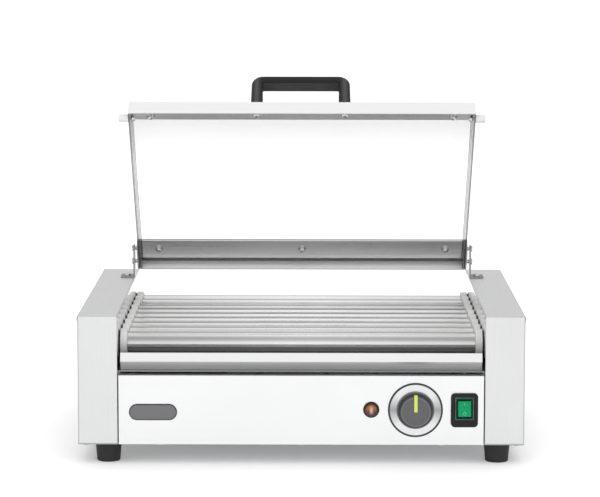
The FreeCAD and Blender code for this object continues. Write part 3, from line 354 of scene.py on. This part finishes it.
def seal_material():
    """White ring seals, with painted shade on the narrow neck that runs to the wall."""
    mat, tree, shader = new_material("seal_plastic")
    rounded(tree, shader, 0.5)
    dust = speckle(tree, 60, 4)
    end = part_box("roller_seals")[1].x
    # Painted shade: the neck between ring and wall is made near black.
    neck = spread(tree, off_middle(tree, axes(tree)["X"]), 0, 1, (end - 1.3 * MM, end - 1.1 * MM))
    white = shades(tree, dust, (0.68, 0.68, 0.67), (0.80, 0.80, 0.79))
    surface(tree, shader, colour_mix(tree, neck, white, grey(0.015)),
            spread(tree, dust, 0.46, 0.57))
    return mat


def strip_material():
    """Rear strip of the lid: brushed face, with a matt fold under it that catches the light, and painted
    shade along the crease at the top of the fold.
    """
    mat, tree, shader = new_material("strip_steel")
    mask = rounded(tree, shader, 0.15)
    lines = streaks(tree, (3, 700, 700))
    base = shades(tree, lines, (0.80, 0.80, 0.805), (0.90, 0.90, 0.905))
    height = axes(tree)["Z"]
    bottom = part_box("lid_rear_rail")[0].z
    folded = spread(tree, axes(tree, "Normal")["Z"], 0, 1, (0.5, 0.6))
    # Painted shade along the crease at the top of the fold.
    crease = spread(tree, height, 0, 0.7, (bottom + 10.12 * MM, bottom + 11.12 * MM))
    fade = spread(tree, height, 0.25, 0.95, (bottom + 12 * MM, bottom))
    metal = math_node(tree, "SUBTRACT", 1.0, math_node(tree, "MULTIPLY", folded, fade))
    rubbed = edge_wear_or_highlight(tree, base, grey(0.7), mask, 0.4)
    colour = darkened(tree, math_node(tree, "MULTIPLY", folded, crease), rubbed, 0.12)
    surface(tree, shader, colour, spread(tree, lines, 0.36, 0.48), metal)
    bump(tree, shader, lines, 0.14, 0.06)
    return mat


def grip_material():
    """Moulded handle: painted highlights along the middle of its legs and painted light on the underside of
    the bar.
    """
    mat, tree, shader = new_material("grip_plastic")
    rounded(tree, shader, 1.0)
    patch = speckle(tree, 120, 3)
    low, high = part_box("lid_handle")
    centre = (low.x + high.x) / 2
    leg = (high.x - low.x) / 2 - 6.8 * MM
    across = off_middle(tree, axes(tree)["X"], centre)
    # Painted highlight down the middle of each leg; painted light from below on the underside of the bar.
    painted_leg_highlight = spread(tree, off_middle(tree, across, leg), 1, 0, (0.8 * MM, 4.8 * MM))
    facing_down = spread(tree, axes(tree, "Normal")["Z"], 1, 0, (-0.62, -0.40))
    between = spread(tree, across, 1, 0, (leg - 8.5 * MM, leg - 7.5 * MM))
    light = math_node(tree, "MAXIMUM", painted_leg_highlight, math_node(tree, "MULTIPLY", facing_down, between))
    tone = math_node(tree, "MULTIPLY", light, spread(tree, patch, 0.7, 1.0))
    surface(tree, shader, colour_mix(tree, tone, (0.012, 0.012, 0.013), (0.070, 0.070, 0.072)),
            spread(tree, patch, 0.36, 0.50))
    shader.inputs["Specular IOR Level"].default_value = 0.25
    bump(tree, shader, speckle(tree, 1800, 2), 0.5, 0.1)
    return mat


def rail_material():
    """Front edge of the lid: satin steel, less metallic on top so that it reads almost white."""
    mat, tree, shader = new_material("rail_steel")
    mask = rounded(tree, shader, 0.5)
    lines = streaks(tree, (3, 900, 900))
    base = shades(tree, lines, (0.80, 0.80, 0.805), (0.85, 0.85, 0.855))
    metal = spread(tree, axes(tree, "Normal")["Z"], 1.0, 0.35, (-0.2, 0.2))
    surface(tree, shader, edge_wear_or_highlight(tree, base, grey(0.75), mask, 0.4),
            spread(tree, lines, 0.30, 0.42), metal)
    bump(tree, shader, lines, 0.12, 0.06)
    return mat


def switch_material():
    """Black bezel; a painted highlight on its window lip and a faint painted green glow in the well inside.
    """
    mat, tree, shader = new_material("bezel_plastic")
    rounded(tree, shader, 0.7)
    patch = speckle(tree, 90, 3)
    here = axes(tree)
    centre = middle("switch_rocker")
    low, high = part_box("switch_body")
    # Reach is 1 at the outside of the lip, which follows the bezel's outline.
    lip_x = (high.x - low.x) / 2 - 5.05 * MM
    lip_z = (high.z - low.z) / 2 - 6.7 * MM
    reach = math_node(tree, "MAXIMUM",
                      math_node(tree, "DIVIDE", off_middle(tree, here["X"], centre.x), lip_x),
                      math_node(tree, "DIVIDE", off_middle(tree, here["Z"], centre.z), lip_z))
    black = shades(tree, patch, (0.010, 0.010, 0.011), (0.014, 0.014, 0.015))
    # Painted glow: the well inside the lip is tinted green as if lit by the rocker.
    well = colour_mix(tree, spread(tree, reach, 1, 0, (0.86, 0.90)), black, (0.002, 0.030, 0.016))
    # Painted highlight along the window lip.
    lip = math_node(tree, "MULTIPLY", spread(tree, reach, 0, 1, (0.905, 0.935)),
                    spread(tree, reach, 1, 0, (0.975, 1.005)))
    pale = math_node(tree, "MULTIPLY", lip, spread(tree, patch, 0.35, 1.0))
    surface(tree, shader, colour_mix(tree, pale, well, (0.10, 0.22, 0.16)),
            spread(tree, patch, 0.42, 0.52))
    shader.inputs["Specular IOR Level"].default_value = 0.22
    bump(tree, shader, speckle(tree, 1500, 2), 0.2, 0.1)
    return mat


def bracket_material():
    """Hinge bracket: grey upright, with painted shade on the upper faces of its foot."""
    mat, tree, shader = new_material("bracket_steel")
    mask = rounded(tree, shader, 0.4)
    lines = streaks(tree, (300, 300, 5))
    base = shades(tree, lines, (0.33, 0.33, 0.34), (0.38, 0.38, 0.39))
    # Painted shade: faces turned up, on the foot, are made near black.
    foot = spread(tree, axes(tree, "Normal")["Z"], 0, 0.85, (0.7, 0.95))
    colour = colour_mix(tree, foot, edge_wear_or_highlight(tree, base, grey(0.3), mask, 0.5), grey(0.05))
    surface(tree, shader, colour, spread(tree, lines, 0.20, 0.31), 1.0)
    bump(tree, shader, lines, 0.1, 0.06)
    return mat


def dial_material():
    """Circular-brushed dial ring with a painted sheen and a dark rim."""
    mat, tree, shader = new_material("dial_metal")
    rounded(tree, shader, 0.3)
    centre = middle("dial_plate")
    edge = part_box("dial_plate")[1].x - centre.x
    radius, angle = polar(tree, centre)
    lines = turned_lines(tree, radius, angle, 2600, 1.5)
    # Painted sheen of turned metal: bright above and below, dark at the sides.
    painted_sheen = math_node(tree, "ABSOLUTE", math_node(tree, "COSINE", angle))
    tone = math_node(tree, "ADD", math_node(tree, "MULTIPLY", lines, 0.35),
                     spread(tree, painted_sheen, 0.1, 0.75, (0.0, 0.9)))
    metal = shades(tree, tone, (0.32, 0.325, 0.33), (0.76, 0.765, 0.77))
    rim = spread(tree, radius, 0, 1, (edge - 2.4 * MM, edge - 2.1 * MM))
    surface(tree, shader, colour_mix(tree, rim, metal, (0.06, 0.06, 0.065)),
            spread(tree, lines, 0.24, 0.36), 1.0)
    bump(tree, shader, lines, 0.12, 0.05)
    return mat


def knob_material():
    """Moulded knob: turned front face, painted highlights on its rims and edges, and painted shade in the
    groove above the skirt.
    """
    mat, tree, shader = new_material("knob_plastic")
    mask = rounded(tree, shader, 0.8)
    low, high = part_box("control_knob")
    edge = (high.x - low.x) / 2
    radius, angle = polar(tree, middle("dial_plate"))
    lines = turned_lines(tree, radius, angle, 2200, 2.0)
    # Each stop is a part of the knob's radius and how light it is there: the pale rings are painted
    # highlights on the rims, the darkest ring is painted shade in the groove.
    stops = ((0.0, 0.105), (0.73, 0.095), (0.765, 0.22), (0.795, 0.05), (0.85, 0.022),
             (0.91, 0.045), (0.95, 0.09), (0.985, 0.26), (1.0, 0.15))
    levels = bands(tree, spread(tree, radius, 0, 1, (0, edge)), stops, (1, 0.98, 1.04))
    lined = colour_mix(tree, 0.5, levels, shades(tree, lines, grey(0.7), grey(1)), "MULTIPLY")
    # The paler edge colour is a painted edge highlight.
    surface(tree, shader, edge_wear_or_highlight(tree, lined, (0.2, 0.2, 0.21), mask, 0.6),
            spread(tree, lines, 0.30, 0.42))
    bump(tree, shader, lines, 0.15, 0.06)
    return mat


def rocker_material():
    """Green rocker, clouded and darker towards its edges."""
    mat, tree, shader = new_material("green_plastic")
    mask = rounded(tree, shader, 1.2)
    cloud = speckle(tree, 260, 3)
    face = shades(tree, cloud, (0.0, 0.24, 0.09), (0.0, 0.33, 0.13))
    surface(tree, shader, edge_wear_or_highlight(tree, face, (0.0, 0.07, 0.03), mask, 1.6),
            spread(tree, cloud, 0.16, 0.26))
    shader.inputs["Specular IOR Level"].default_value = 0.2
    return mat


def lens_material():
    """Tinted clear plastic of the pilot lamp: painted light, amber above and brown below, with a painted
    pale glint between.
    """
    mat, tree, shader = new_material("amber_lens")
    low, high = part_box("indicator_lens")
    edge = (high.x - low.x) / 2
    radius, angle = polar(tree, middle("indicator_lens"))
    grain = speckle(tree, 620, 2)
    across = math_node(tree, "MULTIPLY", radius, math_node(tree, "SINE", angle))
    height = math_node(tree, "MULTIPLY", radius, math_node(tree, "COSINE", angle))
    # Painted light: amber towards the top, brown towards the bottom.
    tone = math_node(tree, "ADD", spread(tree, height, 0.1, 0.9, (-5 * MM, 5 * MM)),
                     spread(tree, grain, -0.25, 0.25))
    body = shades(tree, tone, (0.10, 0.030, 0.018), (0.40, 0.125, 0.036))
    # Painted glint down the middle.
    glint = math_node(tree, "MULTIPLY",
                      spread(tree, off_middle(tree, across), 0.7, 0, (0.3 * MM, 3.0 * MM)),
                      spread(tree, off_middle(tree, height), 1, 0, (1.4 * MM, 5.6 * MM)))
    lit = colour_mix(tree, glint, body, (0.80, 0.68, 0.62))
    rim = spread(tree, radius, 0, 1, (edge - 3.0 * MM, edge - 0.4 * MM))
    surface(tree, shader, colour_mix(tree, rim, lit, (0.035, 0.014, 0.008)),
            spread(tree, grain, 0.10, 0.20))
    shader.inputs["Transmission Weight"].default_value = 0.1
    shader.inputs["IOR"].default_value = 1.49
    return mat


def pane_material():
    """Clear sheet: see-through face on, grey at its two side edges, a little hazy near its top."""
    mat, tree, shader = new_material("clear_sheet")
    film = speckle(tree, 14, 3)
    here = axes(tree)
    low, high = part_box("lid_pane")
    across = off_middle(tree, here["X"])
    cut_edge = spread(tree, across, 0, 1, (high.x - 4.4 * MM, high.x - 4.0 * MM))
    outline = spread(tree, across, 0, 1, (high.x - 1.1 * MM, high.x - 0.7 * MM))
    inline = spread(tree, across, 1, 0, (high.x - 3.6 * MM, high.x - 3.2 * MM))
    dark = math_node(tree, "MULTIPLY", cut_edge, math_node(tree, "MAXIMUM", outline, inline))
    clear = shades(tree, film, (0.36, 0.37, 0.37), (0.40, 0.41, 0.41))
    surface(tree, shader, colour_mix(tree, dark, clear, grey(0.05)),
            spread(tree, film, 0.03, 0.08))
    haze_from = low.z * 0.35 + high.z * 0.65
    haze = spread(tree, here["Z"], 0.004, 0.26, (haze_from, high.z))
    away = spread(tree, grazing(tree, 0.25), 0.0, 0.45, (0.45, 1.0))
    border = math_node(tree, "ADD", 0.20, math_node(tree, "MULTIPLY", dark, 0.45))
    wing = math_node(tree, "MULTIPLY", cut_edge, border)
    alpha = math_node(tree, "ADD", math_node(tree, "ADD", haze, away), wing)
    feed(tree, shader.inputs["Alpha"], alpha)
    shader.inputs["IOR"].default_value = 1.49
    return mat


# Steel: name, colour, roughness, grain along X, Y and Z, depth of the lines, contrast, edge in mm.
# Plastic: name, colour, roughness, depth and scale of the pits, shine, paleness of rubbed edges (on the
# black plastic a painted edge highlight), edge in mm.
MAT = {
    "panel": steel("panel_steel", (0.86, 0.863, 0.867), 0.34, (3, 900, 900), 0.10, 0.02, 0.8),
    "wall": steel("wall_steel", grey(0.80), 0.10, (900, 3, 900), 0.03, 0.03),
    "plain": steel("plain_steel", (0.50, 0.51, 0.52), 0.45, (3, 700, 700), 0.2, 0.06),
    "clamp": steel("clamp_steel", (0.80, 0.80, 0.81), 0.30, (3, 900, 900), 0.12, 0.04),
    "screw": steel("screw_steel", (0.62, 0.62, 0.63), 0.22, (300, 300, 300), 0.1, 0.05, 0.3),
    "wheel": steel("wheel_steel", (0.50, 0.50, 0.51), 0.38, (400, 400, 400), 0.2, 0.08, 0.2),
    "chain": steel("chain_steel", (0.30, 0.29, 0.28), 0.42, (300, 300, 300), 0.2, 0.15, 0.2),
    "sheath": steel("sheath_steel", (0.28, 0.26, 0.25), 0.5, (60, 400, 400), 0.3, 0.15),
    "badge": steel("badge_metal", (0.055, 0.055, 0.058), 0.42, (5, 900, 900), 0.1, 0.05, 0.8),
    "field": steel("badge_field_metal", (0.185, 0.185, 0.19), 0.38, (6, 900, 900), 0.1, 0.10, 0.3),
    "motor": plastic("motor_paint", (0.10, 0.11, 0.12), 0.45, 0.3, 700),
    "white": plastic("white_plastic", (0.74, 0.74, 0.73), 0.50, 0.15, 900, 0.4, 1.1),
    "bush": plastic("bush_plastic", (0.50, 0.45, 0.36), 0.5),
    "ceramic": plastic("ceramic_white", (0.80, 0.78, 0.72), 0.3, 0.1, 500),
    # Black plastic: its pale edge colour is a painted edge highlight, not wear.
    "black": plastic("black_plastic", (0.011, 0.011, 0.012), 0.45, 0.2, 1500, 0.22, 16.0, 0.5),
    "lime": plastic("lime_plastic", (0.60, 0.68, 0.13), 0.35, 0.05, 900, 0.5, 1.1, 0.3),
    "rubber": plastic("foot_rubber", (0.022, 0.022, 0.023), 0.62, 0.6, 1100, 0.35),
    "gland": plastic("gland_plastic", grey(0.05), 0.5, 0.3, 900),
    "mark": plastic("mark_print", (0.16, 0.56, 0.30), 0.4, 0.05, 900, 0.3, 1.1, 0.05),
    "casing": casing_material(),
    "tube": tube_material(),
    "seal": seal_material(),
    "bracket": bracket_material(),
    "strip": strip_material(),
    "grip": grip_material(),
    "rail": rail_material(),
    "tray": tray_material(),
    "dial": dial_material(),
    "knob": knob_material(),
    "green": rocker_material(),
    "switch": switch_material(),
    "lens": lens_material(),
    "clear": pane_material(),
}

ASSIGN = {
    "casing": ["side_casing_left", "side_casing_right"],
    "bracket": ["hinge_bracket_left", "hinge_bracket_right"],
    "strip": ["lid_rear_rail"],
    "panel": ["front_panel", "back_panel"],
    "wall": ["inner_wall_left", "inner_wall_right"],
    "plain": ["base_plate", "tray_deck", "element_rails", "motor_bracket"],
    "tube": ["roller_%d" % i for i in range(1, 10)],
    "wheel": ["sprocket_%d" % i for i in range(1, 10)] + ["motor_sprocket", "motor_shaft"],
    "white": ["lid_bumpers"],
    "seal": ["roller_seals"],
    "bush": ["roller_bushes"],
    "sheath": ["heating_elements"],
    "ceramic": ["element_insulators"],
    "chain": ["drive_chain"],
    "motor": ["gear_motor"],
    "black": ["thermostat", "indicator_body"],
    "switch": ["switch_body"],
    "dial": ["dial_plate"],
    "lens": ["indicator_lens"],
    "badge": ["badge_plate"],
    "rubber": ["rubber_feet"],
    "screw": ["foot_screws", "casing_screws", "hinge_pins", "lid_screws"],
    "gland": ["cable_gland"],
    "tray": ["drip_tray"],
    "knob": ["control_knob"],
    "lime": ["knob_pointer"],
    "green": ["switch_rocker"],
    "clear": ["lid_pane"],
    "rail": ["lid_front_rail"],
    "clamp": ["lid_clamp_strips"],
    "grip": ["lid_handle"],
}
for key, names in ASSIGN.items():
    for name in names:
        data = NODES[name].data
        data.materials.clear()
        data.materials.append(MAT[key])


# ------------------------------------------------------------------ detail pieces
def new_piece(name, bm, material, body, smooth=False):
    """Object made from a bmesh, with its material, riding on a body."""
    bmesh.ops.recalc_face_normals(bm, faces=bm.faces)
    mesh = bpy.data.meshes.new(name)
    bm.to_mesh(mesh)
    bm.free()
    for face in mesh.polygons:
        face.use_smooth = smooth
    mesh.materials.append(material)
    obj = bpy.data.objects.new(name, mesh)
    bpy.context.scene.collection.objects.link(obj)
    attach(obj, body)
    return obj


def rings_mesh(bm, rings, close_first=False, close_last=False):
    """Skin between closed rings of equally many points; either end can get a face."""
    rows = [[bm.verts.new(point) for point in ring] for ring in rings]
    for row, after in zip(rows, rows[1:]):
        count = len(row)
        for i in range(count):
            j = (i + 1) % count
            bm.faces.new((row[i], row[j], after[j], after[i]))
    if close_first:
        bm.faces.new(list(reversed(rows[0])))
    if close_last:
        bm.faces.new(rows[-1])


def lamp_lens():
    """Prismatic lamp lens: radial flutes that rise from a plain rim to a small flat middle."""
    low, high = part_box("indicator_lens")
    centre = (low + high) / 2
    outer = (high.x - low.x) / 2
    depth = high.y - low.y
    flutes, per_flute, cut, foremost = 14, 4, 0.9, 0.995
    points = flutes * per_flute
    # Each ring: parts of the radius and of the depth, and how far its flutes are cut in.
    profile = ((1.0, 0.0, 0.0), (1.0, 0.36, 0.0), (0.86, 0.62, 0.05),
               (0.62, 0.82, 0.09), (0.34, 0.95, 0.10), (0.12, 1.0, 0.0))
    rings = []
    for radius, forward, wave in profile:
        ring = []
        for i in range(points):
            turn = 2 * math.pi * i / points
            half = per_flute / 2
            groove = wave * (1 - abs((i % per_flute - half) / half)) * cut
            y = high.y - depth * min(forward - groove, foremost)
            ring.append((centre.x + outer * radius * math.sin(turn), y,
                         centre.z + outer * radius * math.cos(turn)))
        rings.append(ring)
    bm = bmesh.new()
    rings_mesh(bm, rings, close_last=True)
    piece = new_piece("lamp_lens_cut", bm, MAT["lens"], "base")
    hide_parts("indicator_lens")


def rocker_marks():
    """Raised bar and ring marks on the rocker."""
    low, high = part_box("switch_rocker")
    x = (low.x + high.x) / 2
    mid = (low.z + high.z) / 2
    proud = 0.12 * MM
    places = (vertex.co for vertex in NODES["switch_rocker"].data.vertices)
    profile = sorted({(round(co.z, 5), round(co.y, 5)) for co in places
                      if co.y < (low.y + high.y) / 2})

    def front(z):
        """Front surface of the rocker at a height."""
        for (z0, y0), (z1, y1) in zip(profile, profile[1:]):
            if z0 <= z <= z1 and z1 > z0:
                return y0 + (y1 - y0) * (z - z0) / (z1 - z0)
        return low.y

    bar_z, half_wide, half_tall = mid + 5.5 * MM, 0.35 * MM, 1.6 * MM
    rows = []
    for z in (bar_z - half_tall, bar_z + half_tall):
        y = front(z)
        rows.append([(x - half_wide, y - proud, z), (x + half_wide, y - proud, z),
                     (x + half_wide, y + proud, z), (x - half_wide, y + proud, z)])
    bm = bmesh.new()
    rings_mesh(bm, rows, close_first=True, close_last=True)
    bar = new_piece("rocker_mark_on", bm, MAT["mark"], "rocker", smooth=True)

    ring_z, inner, outer, steps = mid - 5.4 * MM, 1.3 * MM, 1.9 * MM, 28
    sections = []
    for i in range(steps):
        turn = 2 * math.pi * i / steps
        section = []
        for radius, side in ((inner, 1), (outer, 1), (outer, -1), (inner, -1)):
            z = ring_z + radius * math.cos(turn)
            section.append((x + radius * math.sin(turn), front(z) - proud * side, z))
        sections.append(section)
    bm = bmesh.new()
    rings_mesh(bm, sections + [sections[0]])
    bmesh.ops.remove_doubles(bm, verts=bm.verts, dist=1e-7)
    ring = new_piece("rocker_mark_off", bm, MAT["mark"], "rocker", smooth=True)


def badge_field():
    """Brushed blank field inside the rim of the badge."""
    low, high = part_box("badge_plate")
    front = low.y - 0.05 * MM
    back = front + 0.3 * MM
    inset, steps = 1.1 * MM, 24
    radius = (high.z - low.z) / 2 - inset
    mid = (low.z + high.z) / 2
    outline = []
    for x, start in ((high.x - inset - radius, 0), (low.x + inset + radius, math.pi)):
        for i in range(steps + 1):
            turn = start + math.pi * i / steps
            outline.append((x + radius * math.sin(turn), mid + radius * math.cos(turn)))
    bm = bmesh.new()
    rings_mesh(bm, [[(x, y, z) for x, z in outline] for y in (back, front)], close_last=True)
    field = new_piece("badge_field", bm, MAT["field"], "base")


lamp_lens()
rocker_marks()
badge_field()


# ------------------------------------------------------------------ stage, light, camera
def floor_material():
    """Pale studio floor with a barely visible mottling."""
    mat, tree, shader = new_material("studio_floor")
    cloud = speckle(tree, 1.5, 2)
    surface(tree, shader, shades(tree, cloud, grey(0.93), grey(0.95)), 0.9)
    shader.inputs["Specular IOR Level"].default_value = 0.1
    feed(tree, shader.inputs["Emission Color"], grey(1))
    shader.inputs["Emission Strength"].default_value = 0.17
    return mat


def studio_floor():
    """Square floor, far wider than the view."""
    reach = 60
    mesh = bpy.data.meshes.new("studio_floor")
    corners = [(-reach, -reach, 0), (reach, -reach, 0), (reach, reach, 0), (-reach, reach, 0)]
    mesh.from_pydata(corners, [], [(0, 1, 2, 3)])
    mesh.materials.append(floor_material())
    floor = bpy.data.objects.new("studio_floor", mesh)
    bpy.context.scene.collection.objects.link(floor)


def studio_world():
    """Grey room: light and dark bands from front to rear, plain at both sides."""
    world = bpy.data.worlds.new("studio")
    bpy.context.scene.world = world
    world.use_nodes = True
    tree = world.node_tree
    sky = axes(tree, "Generated")
    # Angle over the top from the front horizon (0) through overhead (0.5) to the rear one (1).
    to_front = math_node(tree, "MULTIPLY", sky["Y"], -1)
    arc = spread(tree, math_node(tree, "ARCTAN2", sky["Z"], to_front), 0, 1, (0, math.pi))
    stops = ((0.0, 1.02), (0.11, 0.96), (0.20, 0.58), (0.32, 0.48), (0.43, 0.58), (0.53, 1.02),
             (0.82, 1.10), (0.92, 0.75), (1.0, 0.56))
    side = spread(tree, off_middle(tree, sky["X"]), 0, 1, (0.55, 0.90))
    background = tree.nodes["Background"]
    feed(tree, background.inputs["Color"],
         colour_mix(tree, side, bands(tree, arc, stops), grey(0.52)))
    background.inputs["Strength"].default_value = 1.0


def overhead_light():
    """Wide soft light from above and in front, kept out of the reflections."""
    data = bpy.data.lights.new("overhead_light", "SUN")
    data.energy = 1.25
    data.angle = math.radians(60)
    sun = bpy.data.objects.new("overhead_light", data)
    bpy.context.scene.collection.objects.link(sun)
    sun.rotation_euler = (math.radians(42), math.radians(4), 0)
    sun.visible_glossy = False


def long_camera():
    """A long lens in front of the machine, a little above it and right of its centre line."""
    place = Vector((0.0087, -3.1457, 0.6336))
    yaw, pitch, roll = -0.0035, 0.1279, -0.0015
    aim = (Matrix.Rotation(-roll, 3, "Y") @ Matrix.Rotation(pitch, 3, "X")
           @ Matrix.Rotation(yaw, 3, "Z"))
    right, ahead, up = aim
    data = bpy.data.cameras.new("camera")
    data.sensor_fit = "HORIZONTAL"
    data.sensor_width = 36
    data.lens = 154.338
    data.clip_end = 200
    camera = bpy.data.objects.new("camera", data)
    bpy.context.scene.collection.objects.link(camera)
    turn = Matrix((right, up, -ahead)).transposed()
    camera.matrix_world = Matrix.Translation(place) @ turn.to_4x4()
    bpy.context.scene.camera = camera


studio_floor()
studio_world()
overhead_light()
long_camera()
bpy.context.scene.view_settings.view_transform = "Standard"
